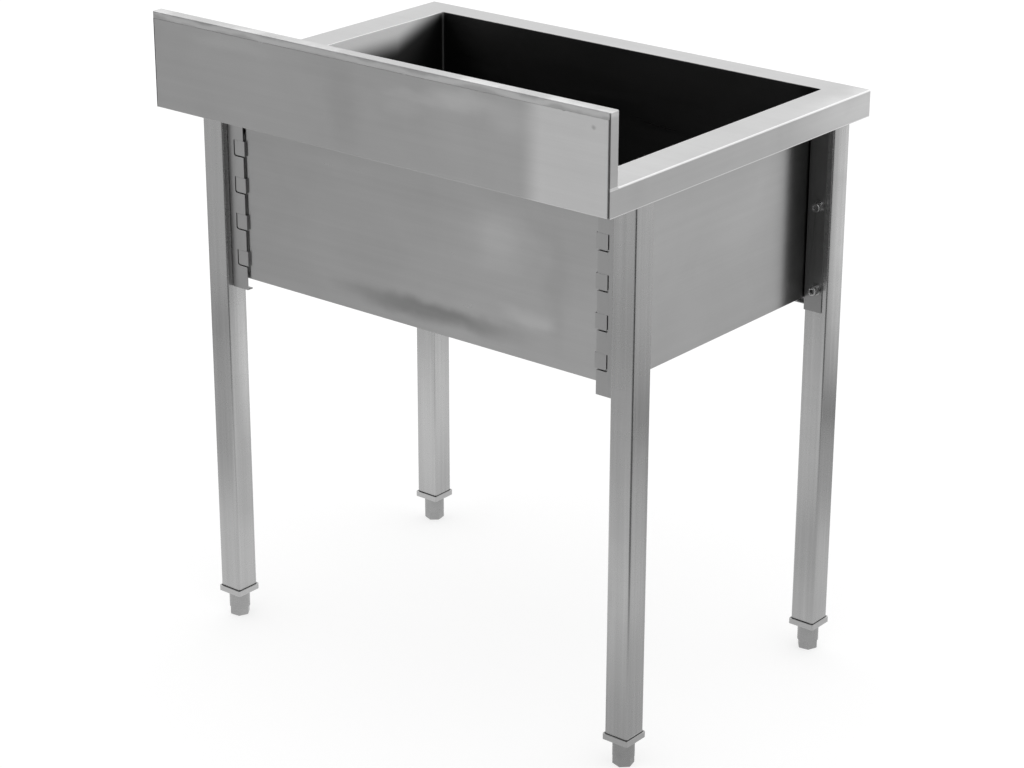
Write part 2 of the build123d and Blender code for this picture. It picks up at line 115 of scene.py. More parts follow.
def addVector(tree, operation, a, b):
    node = tree.nodes.new("ShaderNodeVectorMath")
    node.operation = operation
    for socket, value in zip(node.inputs, (a, b)):
        if isinstance(value, tuple):
            socket.default_value = value
        else:
            tree.links.new(value, socket)
    return node.outputs[0]


def addSplit(tree, vector):
    node = tree.nodes.new("ShaderNodeSeparateXYZ")
    tree.links.new(vector, node.inputs[0])
    return tuple(node.outputs)


def addNoise(tree, place, scale, detail=2.0, roughness=0.5, distortion=0.0):
    node = tree.nodes.new("ShaderNodeTexNoise")
    node.inputs["Scale"].default_value = scale
    node.inputs["Detail"].default_value = detail
    node.inputs["Roughness"].default_value = roughness
    node.inputs["Distortion"].default_value = distortion
    tree.links.new(place, node.inputs["Vector"])
    return node.outputs["Fac"]


def addNoiseColour(tree, place, scale):
    node = tree.nodes.new("ShaderNodeTexNoise")
    node.inputs["Scale"].default_value = scale
    node.inputs["Detail"].default_value = 3.0
    tree.links.new(place, node.inputs["Vector"])
    return node.outputs["Color"]


def addRange(tree, value, fromLow, fromHigh, toLow, toHigh, smooth=False):
    node = tree.nodes.new("ShaderNodeMapRange")
    node.interpolation_type = "SMOOTHSTEP" if smooth else "LINEAR"
    ends = {"From Min": fromLow, "From Max": fromHigh, "To Min": toLow, "To Max": toHigh}
    for name, number in ends.items():
        node.inputs[name].default_value = number
    tree.links.new(value, node.inputs["Value"])
    return node.outputs["Result"]


def addRamp(tree, value, stops):
    node = tree.nodes.new("ShaderNodeValToRGB")
    ramp = node.color_ramp
    ramp.interpolation = "EASE"
    while len(ramp.elements) < len(stops):
        ramp.elements.new(0.5)
    for element, (place, level) in zip(ramp.elements, stops):
        element.position = place
    for element, (place, level) in zip(ramp.elements, stops):
        element.color = (level, level, level, 1.0)
    tree.links.new(value, node.inputs["Fac"])
    return node.outputs["Color"]


def addMix(tree, factor, a, b):
    node = tree.nodes.new("ShaderNodeMix")
    node.data_type = "RGBA"
    for name, value in (("Factor", factor), ("A", a), ("B", b)):
        socket = next(s for s in node.inputs if s.name == name and s.enabled)
        if isinstance(value, (tuple, float, int)):
            socket.default_value = (*value, 1.0) if isinstance(value, tuple) else value
        else:
            tree.links.new(value, socket)
    return next(s for s in node.outputs if s.enabled)


def addBump(tree, height, distance, below=None):
    node = tree.nodes.new("ShaderNodeBump")
    node.inputs["Strength"].default_value = 1.0
    node.inputs["Distance"].default_value = distance
    tree.links.new(height, node.inputs["Height"])
    if below is not None:
        tree.links.new(below, node.inputs["Normal"])
    return node.outputs[0]


# Mark: 1 at a place, falling softly to 0 at the given reach along each axis
def addMark(tree, place, centre, reach):
    away = addVector(tree, "DIVIDE", addVector(tree, "SUBTRACT", place, centre), reach)
    length = tree.nodes.new("ShaderNodeVectorMath")
    length.operation = "LENGTH"
    tree.links.new(away, length.inputs[0])
    return addRange(tree, length.outputs["Value"], 0.15, 1.0, 1, 0, True)


# Tone times 1 + share * (level - 1): the level where the share is 1, no change where it is 0
def addTone(tree, tone, share, level):
    return addMath(tree, "MULTIPLY", tone, addMath(tree, "MULTIPLY_ADD", share, level - 1, 1.0))


# Studio: a white room. What the metal mirrors is softly graded, as panels and dark cloths grade it:
# brightness by compass angle in degrees from +X, for the sky and for three rings of the floor
studio = {
    "sky": [(0, 0.65), (30, 0.15), (60, 0.15), (90, 0.38), (120, 0.04), (150, 0.04), (180, 0.57),
            (210, 0.91), (240, 1.04), (270, 1.13), (300, 1.06), (330, 0.98), (360, 0.65)],
    "farFloor": [(0, 0.57), (20, 0.53), (36, 0.49), (44, 0.50), (50, 0.52), (56, 0.58), (64, 0.56),
                 (80, 0.45), (100, 0.40), (112, 0.34), (121, 0.03), (156, 0.03), (168, 0.45), (190, 0.53),
                 (210, 0.60), (220, 0.57), (226, 0.56), (231, 0.61), (236, 0.62), (242, 0.62), (255, 0.61),
                 (280, 0.60), (310, 0.60), (340, 0.59), (360, 0.57)],
    "middleFloor": [(0, 0.52), (25, 0.51), (40, 0.47), (50, 0.47), (60, 0.52), (80, 0.51), (110, 0.15),
                    (145, 0.08), (180, 0.47), (205, 0.50), (218, 0.46), (228, 0.44), (238, 0.48),
                    (255, 0.51), (300, 0.51), (360, 0.52)],
    "nearFloor": [(0, 0.75), (45, 0.69), (90, 0.64), (130, 0.48), (170, 0.50), (210, 0.60), (225, 0.66),
                  (240, 0.68), (270, 0.72), (310, 0.64), (360, 0.75)],
    "ringEdges": ((0.75, 1.10), (1.50, 2.10)),
    "line": {"centre": (0.10, 0.13), "radius": 1.52, "inner": 0.05, "outer": 0.16, "level": 0.18},
    "overhead": 1.15, "overheadFrom": (0.48, 0.68), "roomLight": 1.0, "strength": 2.0,
    "floorSide": 7.0, "floorPaint": 0.40, "floorGlow": 0.66,
}


# Distance from the middle: the root of x squared plus y squared
def addReach(tree, x, y):
    return addMath(tree, "SQRT", addMath(tree, "MULTIPLY_ADD", x, x, addMath(tree, "MULTIPLY", y, y)))


def compassRamp(tree, x, y, stops, top):
    turn = addMath(tree, "DIVIDE", addMath(tree, "ARCTAN2", y, x), 2 * math.pi)
    return addRamp(tree, addMath(tree, "FRACT", turn), [(a / 360, v / top) for a, v in stops])


def lightStudio(look):
    world = bpy.data.worlds.new("studio")
    bpy.context.scene.world = world
    world.use_nodes = True
    tree = world.node_tree
    tree.nodes.clear()
    top = look["strength"]
    direction = tree.nodes.new("ShaderNodeTexCoord").outputs["Generated"]
    x, y, z = addSplit(tree, direction)
    low = compassRamp(tree, x, y, look["farFloor"], top)
    high = compassRamp(tree, x, y, look["sky"], top)
    side = addMix(tree, addRange(tree, z, -0.06, 0.08, 0, 1, True), low, high)
    above = addRange(tree, z, *look["overheadFrom"], 0, 1, True)
    seen = addMix(tree, above, side, (look["overhead"] / top,) * 3)
    ray = tree.nodes.new("ShaderNodeLightPath")
    seen = addMix(tree, ray.outputs["Is Diffuse Ray"], seen, (look["roomLight"] / top,) * 3)
    graded = tree.nodes.new("ShaderNodeBackground")
    graded.inputs["Strength"].default_value = top
    tree.links.new(seen, graded.inputs["Color"])
    white = tree.nodes.new("ShaderNodeBackground")
    white.inputs["Color"].default_value = (1, 1, 1, 1)
    both = tree.nodes.new("ShaderNodeMixShader")
    tree.links.new(ray.outputs["Is Camera Ray"], both.inputs[0])
    tree.links.new(graded.outputs[0], both.inputs[1])
    tree.links.new(white.outputs[0], both.inputs[2])
    output = tree.nodes.new("ShaderNodeOutputWorld")
    tree.links.new(both.outputs[0], output.inputs["Surface"])
    bpy.context.scene.view_settings.view_transform = "Standard"


def makeFloor(look):
    s = look["floorSide"]
    mesh = bpy.data.meshes.new("studioFloor")
    mesh.from_pydata([(-s, -s, 0), (s, -s, 0), (s, s, 0), (-s, s, 0)], [], [(0, 1, 2, 3)])
    made = bpy.data.objects.new("studioFloor", mesh)
    bpy.context.scene.collection.objects.link(made)
    material = bpy.data.materials.new("floorPaint")
    material.use_nodes = True
    tree = material.node_tree
    tree.nodes.clear()
    matt = tree.nodes.new("ShaderNodeBsdfDiffuse")
    matt.inputs["Color"].default_value = (look["floorPaint"],) * 3 + (1,)
    glow = tree.nodes.new("ShaderNodeEmission")
    glow.inputs["Color"].default_value = (1, 1, 1, 1)
    glow.inputs["Strength"].default_value = look["floorGlow"]
    pale = tree.nodes.new("ShaderNodeAddShader")
    tree.links.new(matt.outputs[0], pale.inputs[0])
    tree.links.new(glow.outputs[0], pale.inputs[1])
    # what the metal mirrors of the floor
    top = look["strength"]
    place = tree.nodes.new("ShaderNodeTexCoord").outputs["Object"]
    x, y, z = addSplit(tree, place)
    away = addReach(tree, x, y)
    rings = [compassRamp(tree, x, y, look[ring], top) for ring in ("nearFloor", "middleFloor", "farFloor")]
    inner, outer = look["ringEdges"]
    seen = addMix(tree, addRange(tree, away, *inner, 0, 1, True), rings[0], rings[1])
    seen = addMix(tree, addRange(tree, away, *outer, 0, 1, True), seen, rings[2])
    # a dark line around the object, sharp towards it and fading outwards
    line = look["line"]
    fromX, fromY = (addMath(tree, "SUBTRACT", a, b) for a, b in zip((x, y), line["centre"]))
    reach = addReach(tree, fromX, fromY)
    dip = addMath(tree, "MULTIPLY",
                  addRange(tree, reach, line["radius"] - line["inner"], line["radius"], 0, 1, True),
                  addRange(tree, reach, line["radius"], line["radius"] + line["outer"], 1, 0, True))
    seen = addVector(tree, "MULTIPLY", seen, addTone(tree, 1.0, dip, line["level"]))
    mirrored = tree.nodes.new("ShaderNodeEmission")
    mirrored.inputs["Strength"].default_value = top
    tree.links.new(seen, mirrored.inputs["Color"])
    ray = tree.nodes.new("ShaderNodeLightPath")
    both = tree.nodes.new("ShaderNodeMixShader")
    tree.links.new(ray.outputs["Is Glossy Ray"], both.inputs[0])
    tree.links.new(pale.outputs[0], both.inputs[1])
    tree.links.new(mirrored.outputs[0], both.inputs[2])
    output = tree.nodes.new("ShaderNodeOutputMaterial")
    tree.links.new(both.outputs[0], output.inputs["Surface"])
    # the floor is met by reflected rays only, so that the metal mirrors just what is written above
    material.cycles.emission_sampling = "NONE"
    mesh.materials.append(material)


lightStudio(studio)
makeFloor(studio)
print("studio: world and floor made")


# Finishes. Brushed steel has fine scratches along the grain, broader streaks, faint wipe marks and a
# slight waviness of the sheet; the highlight is drawn out across the grain.
def layGrain(tree, place, normal, look):
    fine, along = look["fine"], look["along"]
    axis = tree.nodes.new("ShaderNodeCombineXYZ")
    if look["grain"] == "upright":
        axis.inputs["Z"].default_value = 1.0
        return addVector(tree, "MULTIPLY", place, (fine, fine, along)), axis.outputs[0]
    # sheets: the grain lies level, along X, or along Y on faces that look along X
    sideways = addMath(tree, "GREATER_THAN", addMath(tree, "ABSOLUTE", addSplit(tree, normal)[0]), 0.7)
    lengthways = addMath(tree, "SUBTRACT", 1.0, sideways)
    tree.links.new(lengthways, axis.inputs["X"])
    tree.links.new(sideways, axis.inputs["Y"])
    size = tree.nodes.new("ShaderNodeCombineXYZ")
    tree.links.new(addMath(tree, "MULTIPLY_ADD", lengthways, along - fine, fine), size.inputs["X"])
    tree.links.new(addMath(tree, "MULTIPLY_ADD", sideways, along - fine, fine), size.inputs["Y"])
    size.inputs["Z"].default_value = fine
    return addVector(tree, "MULTIPLY", place, size.outputs[0]), axis.outputs[0]


# Outer folds of the rim: painted highlight lines along them
def paintFoldHighlights(tree, x, y, z, tone, folds):
    outside = addMath(tree, "MAXIMUM",
                      addMath(tree, "GREATER_THAN", addMath(tree, "ABSOLUTE", x), folds["halfX"]),
                      addMath(tree, "LESS_THAN", y, folds["frontY"]))
    for low, high in (folds["upper"], folds["lower"]):
        fold = addMath(tree, "COMPARE", z, (low + high) / 2, (high - low) / 2)
        tone = addTone(tree, tone, addMath(tree, "MULTIPLY", outside, fold), folds["level"])
    return tone


# Inside of the bowl: painted shade, with a painted highlight band along the top of both ends that runs out
# towards the corners, narrow lighter bands along the upright corners, and a painted highlight on the lip over
# the ends
def paintInsideShadeAndHighlights(tree, x, y, z, tone, inside):
    fromEnd = addMath(tree, "SUBTRACT", inside["halfX"], addMath(tree, "ABSOLUTE", x))
    fromMiddle = addMath(tree, "ABSOLUTE", addMath(tree, "SUBTRACT", y, inside["middleY"]))
    fromSide = addMath(tree, "SUBTRACT", inside["halfY"], fromMiddle)
    inner = addMath(tree, "GREATER_THAN", addMath(tree, "MINIMUM", fromEnd, fromSide), -inside["wallHalf"])
    corner = addRange(tree, addMath(tree, "MAXIMUM", fromEnd, fromSide), *inside["band"], 1, 0, True)
    atEnd = addRange(tree, fromEnd, *inside["endReach"], 1, 0, True)
    fromRim = addMath(tree, "SUBTRACT", inside["rim"], z)
    nearCorner = addMath(tree, "MAXIMUM", addMath(tree, "SUBTRACT", inside["cornerFrom"], fromSide), 0.0)
    drop = addMath(tree, "MULTIPLY_ADD", nearCorner, inside["cornerSlope"], fromRim)
    deep = addRange(tree, drop, *inside["drop"], inside["topLevel"], inside["level"], True)
    level = addMath(tree, "MULTIPLY_ADD", atEnd, addMath(tree, "SUBTRACT", deep, inside["level"]),
                    inside["level"])
    level = addTone(tree, level, corner, inside["bandLevel"])
    tone = addMath(tree, "MULTIPLY", tone,
                   addMath(tree, "MULTIPLY_ADD", inner, addMath(tree, "SUBTRACT", level, 1.0), 1.0))
    lip = addMath(tree, "MULTIPLY", addMath(tree, "LESS_THAN", fromEnd, inside["lipInset"]),
                  addMath(tree, "GREATER_THAN", z, inside["lipFrom"]))
    tone = addTone(tree, tone, lip, inside["lipLevel"])
    # the band is coarse and partly matt
    coarse = addMath(tree, "MULTIPLY", inner, atEnd)
    matt = addMath(tree, "MULTIPLY", coarse, addRange(tree, drop, *inside["drop"], inside["matt"], 0, True))
    return tone, coarse, matt


def brushedSteel(name, look):
    material = bpy.data.materials.new(name)
    material.use_nodes = True
    tree = material.node_tree
    metal = tree.nodes["Principled BSDF"]
    place = tree.nodes.new("ShaderNodeTexCoord").outputs["Object"]
    normal = tree.nodes.new("ShaderNodeNewGeometry").outputs["Normal"]
    x, y, z = addSplit(tree, place)
    stretched, grain = layGrain(tree, place, normal, look)
    scratch = addNoise(tree, stretched, 1.0, 3.0, 0.6)
    streak = addNoise(tree, stretched, look["streak"], 2.0, 0.5)
    blotch = addNoise(tree, place, look["blotch"], 3.0, 0.55, 0.6)
    # the wipe marks lie elsewhere than the blotches, so their noise starts from another place
    shifted = addVector(tree, "ADD", place, look["wipeShift"])
    wiped = addNoise(tree, addVector(tree, "MULTIPLY", shifted, look["wipe"]), 1.0, 4.0, 0.6, 0.8)
    tree.links.new(addVector(tree, "CROSS_PRODUCT", normal, grain), metal.inputs["Tangent"])
    # colour: bright metal with slightly darker streaks, blotches and scratches
    shade = addMath(tree, "MULTIPLY_ADD", streak, look["streakShade"], 0.5 - look["streakShade"] / 2)
    for value, share in ((blotch, look["blotchShade"]), (scratch, look["fineShade"])):
        shade = addMath(tree, "MULTIPLY_ADD", addMath(tree, "SUBTRACT", value, 0.5), share, shade)
    if "scuff" in look:
        scuff = look["scuff"]
        low = addRange(tree, z, *scuff["heights"], 1, 0, True)
        worn = addMath(tree, "MULTIPLY", low, addRange(tree, blotch, *scuff["blotches"], 0, scuff["depth"]))
        shade = addMath(tree, "SUBTRACT", shade, worn)
    # painted light and shade: soft lighter and darker marks for highlights, reflections and shadows, each
    # with an edge that wanders a little
    drift = addVector(tree, "SUBTRACT", addNoiseColour(tree, place, look["wanderScale"]), (0.5, 0.5, 0.5))
    wander = addVector(tree, "ADD", place, addVector(tree, "MULTIPLY", drift, look["wander"]))
    tone = addRange(tree, blotch, 0.0, 1.0, *look["toneRange"])
    for centre, reach, level in look.get("marks", []):
        tone = addTone(tree, tone, addMark(tree, wander, centre, reach), level)
    # painted shadow line: darker below a given height, where the leg meets its plug
    if "groove" in look:
        low, high, level = look["groove"]
        tone = addTone(tree, tone, addRange(tree, z, low, high, 1, 0, True), level)
    # painted highlight: lighter towards one end along x
    if "brightEnd" in look:
        start, full, level = look["brightEnd"]
        tone = addTone(tree, tone, addRange(tree, x, start, full, 0, 1, True), level)
    # painted highlight lines along the rim's outer folds
    if "folds" in look:
        tone = paintFoldHighlights(tree, x, y, z, tone, look["folds"])
    rough = addMath(tree, "MULTIPLY_ADD", addMath(tree, "SUBTRACT", wiped, 0.5), look["wipeRough"],
                    look["rough"])
    rough = addMath(tree, "MULTIPLY_ADD", addMath(tree, "SUBTRACT", scratch, 0.5), look["fineRough"], rough)
    metal.inputs["Metallic"].default_value = 1.0
    # painted shade inside the bowl, with painted highlights at the top of the ends and on the lip
    if "inside" in look:
        tone, coarse, matt = paintInsideShadeAndHighlights(tree, x, y, z, tone, look["inside"])
        rough = addMath(tree, "MULTIPLY_ADD", coarse, look["inside"]["endRough"], rough)
        tree.links.new(addMath(tree, "SUBTRACT", 1.0, matt), metal.inputs["Metallic"])
    colour = addVector(tree, "MULTIPLY", addMix(tree, shade, look["dark"], look["light"]), tone)
    colour = addVector(tree, "MINIMUM", colour, (look["brightest"],) * 3)
    tree.links.new(colour, metal.inputs["Base Color"])
    tree.links.new(rough, metal.inputs["Roughness"])
    metal.inputs["Anisotropic"].default_value = look["drawn"]
    # relief: waviness of the sheet below, scratches on top
    wave = addBump(tree, addNoise(tree, place, look["wave"], 1.0, 0.4), look["waveHeight"])
    tree.links.new(addBump(tree, scratch, look["cutHeight"], wave), metal.inputs["Normal"])
    return material


sheetLook = {"grain": "level", "fine": 900.0, "along": 9.0, "streak": 0.12, "blotch": 7.0,
             "wipe": (5.0, 5.0, 26.0), "streakShade": 0.36, "blotchShade": 0.45, "fineShade": 0.25,
             "dark": (0.54, 0.54, 0.54), "light": (0.69, 0.69, 0.69), "rough": 0.30, "wipeRough": 0.10,
             "fineRough": 0.04, "drawn": 0.90, "wave": 3.2, "waveHeight": 0.0016, "cutHeight": 0.000004,
             "wipeShift": (0.31, 0.0, 0.0), "wanderScale": 14.0, "wander": (0.06, 0.0, 0.03),
             "toneRange": (0.985, 1.015), "brightest": 0.96}
# painted highlight: the cover's left-hand end is painted lighter than the rest; the marks are painted lighter
# and darker reflection patches, and a small dark spot near that end
coverLook = dict(sheetLook, brightEnd=(-0.255, -0.295, 1.45),
                 marks=[((-0.150, 0.300, 0.926), (0.085, 0.05, 0.020), 1.20),
                        ((-0.070, 0.300, 0.920), (0.055, 0.05, 0.012), 1.12),
                        ((-0.235, 0.300, 0.918), (0.050, 0.05, 0.034), 1.10),
                        ((-0.060, 0.300, 0.900), (0.050, 0.05, 0.018), 1.07),
                        ((0.040, 0.300, 0.880), (0.045, 0.05, 0.090), 0.93),
                        ((-0.379, 0.300, 0.933), (0.005, 0.05, 0.004), 0.70),
                        ((0.250, 0.300, 0.930), (0.120, 0.05, 0.014), 1.06)])
# marks: a painted dark reflection band low on the rear wall, a painted shadow on the end wall beside the
# front-left bracket, and painted lighter and darker reflection patches on the rear wall
bowlLook = dict(sheetLook, wave=2.6, waveHeight=0.0022, rough=0.30,
                marks=[((-0.020, 0.210, 0.584), (0.200, 0.03, 0.022), 0.66),
                       ((-0.100, 0.210, 0.592), (0.150, 0.03, 0.014), 0.90),
                       ((-0.347, -0.285, 0.700), (0.05, 0.120, 0.60), 0.08),
                       ((-0.150, 0.210, 0.715), (0.075, 0.03, 0.065), 1.14),
                       ((-0.200, 0.210, 0.615), (0.060, 0.03, 0.018), 1.16),
                       ((-0.250, 0.210, 0.670), (0.035, 0.03, 0.110), 0.93),
                       ((0.060, 0.210, 0.640), (0.100, 0.03, 0.060), 0.96)],
                # inside: the bowl's painted shade and painted highlights
                inside={"halfX": bowlHalf[0], "middleY": bowlMiddle[1], "halfY": bowlHalf[1],
                        "wallHalf": sheet / 2, "band": (0.004, 0.007), "bandLevel": 1.3,
                        "endReach": (0.0008, 0.0040), "level": 0.13, "topLevel": 1.60,
                        "rim": rimHeight + 0.0015, "drop": (0.010, 0.052), "cornerFrom": 0.105,
                        "cornerSlope": 0.36, "endRough": 0.22, "matt": 0.95,
                        "lipInset": 0.0004, "lipFrom": rimHeight - sheet, "lipLevel": 1.6})
legLook = dict(sheetLook, grain="upright", fine=520.0, streak=0.34, streakShade=1.1, blotchShade=0.35,
               fineShade=0.10, cutHeight=0.000002, rough=0.27, wave=2.0, waveHeight=0.0002, drawn=0.75,
               scuff={"heights": (0.03, 0.16), "blotches": (0.45, 0.65), "depth": 0.35},
               # painted shadow at the foot of the tube, where it meets the plug
               groove=(0.0480, 0.0496, 0.35),
               # marks: painted highlights, lighter patches on the upper sides of two legs and fainter ones
               # lower on the other two
               marks=[((-0.400, -0.262, 0.680), (0.06, 0.030, 0.340), 1.46),
                      ((0.335, 0.195, 0.520), (0.06, 0.030, 0.280), 1.44),
                      ((0.367, -0.252, 0.330), (0.06, 0.060, 0.260), 1.12),
                      ((-0.367, 0.214, 0.320), (0.06, 0.040, 0.230), 1.12)])
# the plates are a darker copy of the sheet steel, painted shade, and their mark paints the front-left arm
# darker still
plateLook = dict(sheetLook, grain="upright", fine=700.0, dark=(0.49, 0.49, 0.49), light=(0.63, 0.63, 0.63),
                 rough=0.34, drawn=0.60, waveHeight=0.0003,
                 marks=[((-0.370, -0.232, 0.700), (0.10, 0.035, 0.50), 0.62)])
# painted highlights: the end apron is painted brighter towards the front, and so is the lip above the cover
rimLook = dict(sheetLook, marks=[((-0.400, -0.310, 0.836), (0.05, 0.240, 0.05), 1.36),
                                 ((0.0, 0.300, 0.9495), (9.0, 0.030, 0.0070), 1.30)],
               # folds: painted highlight lines along the upper and lower outer folds
               folds={"halfX": topHigh[0] - 0.0018, "frontY": topLow[1] + 0.0018,
                      "upper": (rimHeight - 0.0024, rimHeight + 0.0020),
                      "lower": (topLow[2] - 0.0010, topLow[2] + 0.0013), "level": 1.45})
finishes = {
    "rim_sheet": brushedSteel("rimSheet", rimLook),
    "cover_sheet": brushedSteel("coverSheet", coverLook),
    "bowl_sheet": brushedSteel("bowlSheet", bowlLook),
    "leg_tube": brushedSteel("legTube", legLook),
    "bracket_plate": brushedSteel("bracketPlate", plateLook),
}


# Cast, turned and pressed metal: fine grains or lathe rings, worn a little darker in blotches
def workedMetal(name, look):
    material = bpy.data.materials.new(name)
    material.use_nodes = True
    tree = material.node_tree
    metal = tree.nodes["Principled BSDF"]
    place = tree.nodes.new("ShaderNodeTexCoord").outputs["Object"]
    speck = addNoise(tree, addVector(tree, "MULTIPLY", place, look["stretch"]), 1.0, 3.0, 0.6)
    blotch = addNoise(tree, place, look["blotch"], 3.0, 0.55, 0.5)
    shade = addMath(tree, "MULTIPLY", addMath(tree, "ADD", speck, blotch), 0.5)
    colour = addMix(tree, shade, look["dark"], look["light"])
    if "groove" in look:
        # painted shadow line around the tube on the plug's top: the larger of the distances from its middle
        # in x and y
        groove = look["groove"]
        x, y, z = addSplit(tree, place)
        away = []
        for value, middle, half in ((x, 0.0, groove["halfX"]), (y, groove["middleY"], groove["halfY"])):
            fromMiddle = addMath(tree, "ABSOLUTE", addMath(tree, "SUBTRACT", value, middle))
            away.append(addMath(tree, "ABSOLUTE", addMath(tree, "SUBTRACT", fromMiddle, half)))
        near = addRange(tree, addMath(tree, "MAXIMUM", *away), groove["inner"], groove["outer"], 1, 0, True)
        near = addMath(tree, "MULTIPLY", near, addMath(tree, "GREATER_THAN", z, groove["above"]))
        colour = addVector(tree, "MULTIPLY", colour, addTone(tree, 1.0, near, groove["level"]))
    tree.links.new(colour, metal.inputs["Base Color"])
    tree.links.new(addRange(tree, blotch, 0.3, 0.7, *look["rough"]), metal.inputs["Roughness"])
    metal.inputs["Metallic"].default_value = 1.0
    tree.links.new(addBump(tree, speck, look["relief"]), metal.inputs["Normal"])
    return material


# the plugs' painted shadow line runs around each tube: half the leg spacing gives where
(legX, rearY), frontY = legCentres["rear_right"], legCentres["front_right"][1]
plugLook = {"stretch": (1400.0, 1400.0, 1400.0), "blotch": 90.0, "dark": (0.54, 0.54, 0.54),
            "light": (0.74, 0.74, 0.74), "rough": (0.30, 0.42), "relief": 0.00002,
            "groove": {"halfX": legX, "middleY": (frontY + rearY) / 2, "halfY": (rearY - frontY) / 2,
                       "inner": 0.0196, "outer": 0.0204, "above": 0.0465, "level": 0.10}}
footLook = {"stretch": (90.0, 90.0, 2600.0), "blotch": 70.0, "dark": (0.34, 0.34, 0.34),
            "light": (0.60, 0.60, 0.60), "rough": (0.20, 0.32), "relief": 0.00002}
screwLook = {"stretch": (900.0, 900.0, 900.0), "blotch": 160.0, "dark": (0.42, 0.42, 0.42),
             "light": (0.62, 0.62, 0.62), "rough": (0.20, 0.32), "relief": 0.000006}
wasteLook = {"stretch": (120.0, 120.0, 2400.0), "blotch": 40.0, "dark": (0.62, 0.62, 0.62),
             "light": (0.78, 0.78, 0.78), "rough": (0.12, 0.22), "relief": 0.000004}
brassLook = {"stretch": (700.0, 700.0, 1600.0), "blotch": 60.0, "dark": (0.50, 0.38, 0.20),
             "light": (0.66, 0.53, 0.30), "rough": (0.30, 0.45), "relief": 0.00001}
finishes["plug_metal"] = workedMetal("plugMetal", plugLook)
finishes["foot_metal"] = workedMetal("footMetal", footLook)
finishes["fastener"] = workedMetal("fastenerMetal", screwLook)
finishes["waste_metal"] = workedMetal("wasteMetal", wasteLook)
finishes["locknut_brass"] = workedMetal("locknutBrass", brassLook)

rubberLook = {"dark": (0.018, 0.018, 0.018), "light": (0.040, 0.040, 0.038), "rough": (0.55, 0.75),
              "grain": 900.0, "bloom": 60.0, "relief": 0.00003}


def mouldedRubber(name, look):
    material = bpy.data.materials.new(name)
    material.use_nodes = True
    tree = material.node_tree
    skin = tree.nodes["Principled BSDF"]
    place = tree.nodes.new("ShaderNodeTexCoord").outputs["Object"]
    grain = addNoise(tree, place, look["grain"], 2.0)
    bloom = addNoise(tree, place, look["bloom"], 3.0)
    tree.links.new(addMix(tree, bloom, look["dark"], look["light"]), skin.inputs["Base Color"])
    tree.links.new(addRange(tree, bloom, 0.3, 0.7, *look["rough"]), skin.inputs["Roughness"])
    tree.links.new(addBump(tree, grain, look["relief"]), skin.inputs["Normal"])
    return material


finishes["gasket_rubber"] = mouldedRubber("gasketRubber", rubberLook)
print(f"finishes: {len(finishes)} made")


# Pieces that keep the shape of the solids: a merged copy with smooth bends and finely broken edges
nodeSlots = {row["node"]: row["material_slot"] for row in frame["record"]["subparts"]}
bodyOf = {name: made.parent.name.split(":", 1)[1] for name, made in frame["nodes"].items()}
# angles in degrees; a strip is a face with less than one twelfth of its neighbour's area
dressing = {"merge": 2e-6, "flat": 0.5, "sharp": 32, "bevelAbove": 40, "bend": 0.02, "strip": 12}


def dressNode(node, look):
    source = frame["nodes"][node]
    mesh = source.data.copy()
    mesh.name = look["name"]
    work = bmesh.new()
    work.from_mesh(mesh)
    bmesh.ops.remove_doubles(work, verts=work.verts, dist=dressing["merge"])
    bmesh.ops.dissolve_limit(work, angle_limit=math.radians(dressing["flat"]), verts=work.verts,
                             edges=work.edges)
    # sharp: real corners, and the lines where a large flat face meets the strips of a small rounding
    for edge in work.edges:
        angle = edge.calc_face_angle(0)
        areas = sorted(face.calc_area() for face in edge.link_faces)
        strip = angle > dressing["bend"] and areas[-1] > dressing["strip"] * areas[0]
        edge.smooth = not (angle > math.radians(dressing["sharp"]) or strip)
    for face in work.faces:
        face.smooth = True
    bmesh.ops.triangulate(work, faces=work.faces)
    work.to_mesh(mesh)
    work.free()
    made = bpy.data.objects.new(look["name"], mesh)
    bpy.context.scene.collection.objects.link(made)
    mesh.materials.clear()
    mesh.materials.append(finishes[look.get("finish", nodeSlots[node])])
    bevel = made.modifiers.new("edge", "BEVEL")
    bevel.width, bevel.segments = look["edge"], look.get("rounds", 2)
    bevel.limit_method, bevel.angle_limit = "ANGLE", math.radians(dressing["bevelAbove"])
    bevel.harden_normals = True
    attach(made, bodyOf[node])
    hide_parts(node)


topPieces = {
    "worktop": {"name": "folded_worktop", "edge": 0.0003},
    "upstand_cover": {"name": "upstand_back_cover", "edge": 0.0003, "finish": "cover_sheet"},
    "bowl_walls": {"name": "bowl_wall_band", "edge": 0.0002},
    "bowl_floor": {"name": "bowl_pressed_floor", "edge": 0.0002},
}
for node, look in topPieces.items():
    dressNode(node, look)
for side in ("front", "rear", "left", "right"):
    dressNode(f"rim_stiffener_{side}", {"name": f"stiffener_{side}", "edge": 0.0003})
print("worktop and bowl: dressed")

legPieces = {"leg": {"edge": 0.0003}, "leg_bracket": {"edge": 0.0003}, "hook_rail": {"edge": 0.0002},
             "leg_plug": {"edge": 0.0008, "rounds": 3}, "foot": {"edge": 0.0006}}
for corner in cornerNames:
    for part, look in legPieces.items():
        dressNode(f"{part}_{corner}", dict(look, name=f"dressed_{part}_{corner}"))
print("legs and feet: dressed")

smallPieces = {"flat_washers": 0.0002, "spring_washers": 0.0002, "rivet_nuts": 0.0002,
               "waste_gasket": 0.0003, "waste_locknut": 0.0005, "strainer_basket": 0.0002}
for node, edge in smallPieces.items():
    dressNode(node, {"name": f"dressed_{node}", "edge": edge})
print("fasteners and waste: dressed")


